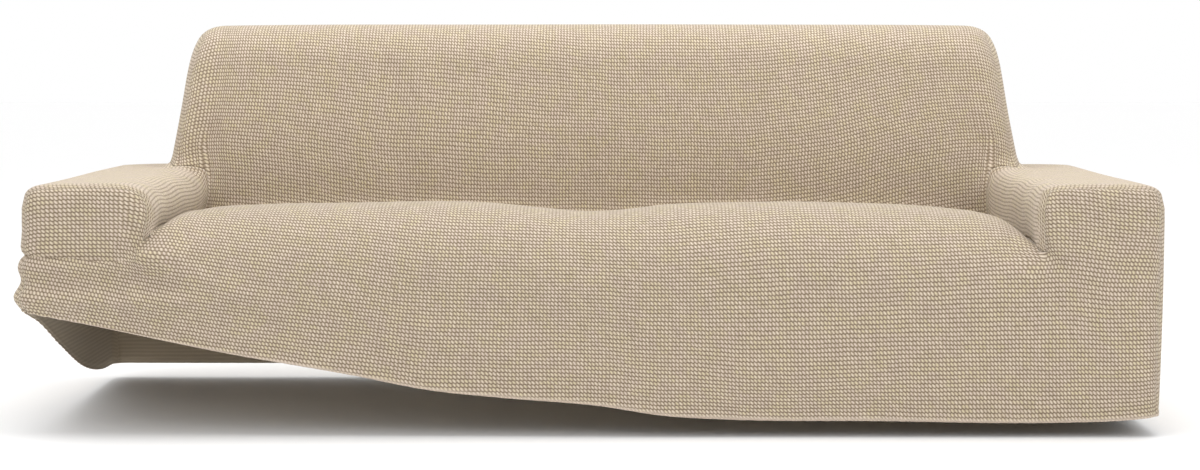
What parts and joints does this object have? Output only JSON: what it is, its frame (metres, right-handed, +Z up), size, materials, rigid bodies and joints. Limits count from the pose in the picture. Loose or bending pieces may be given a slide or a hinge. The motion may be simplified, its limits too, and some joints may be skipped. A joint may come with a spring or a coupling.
{
  "type": "sofa slipcover",
  "caption": "Fitted stretch-knit cover for a three-seat sofa, drawn over seat, arms and back, with one front corner of its hem still lifted.",
  "frame": {"origin": "under the cloth of the back's top, midway across and at the middle of the top, where the covered back holds the cover up", "axes": "+X across the sofa to the right of the picture, +Y from the front to the rear, +Z up"},
  "size_m": [2.2171, 0.9186, 0.7715],
  "materials": {
    "knit": "raised cream knit with beige ground, matt"
  },
  "bodies": {
    "root": {"seat_front": "knit", "arm_left": "knit", "arm_right": "knit", "back_inside": "knit", "back_outside": "knit"}
  },
  "joints": []
}
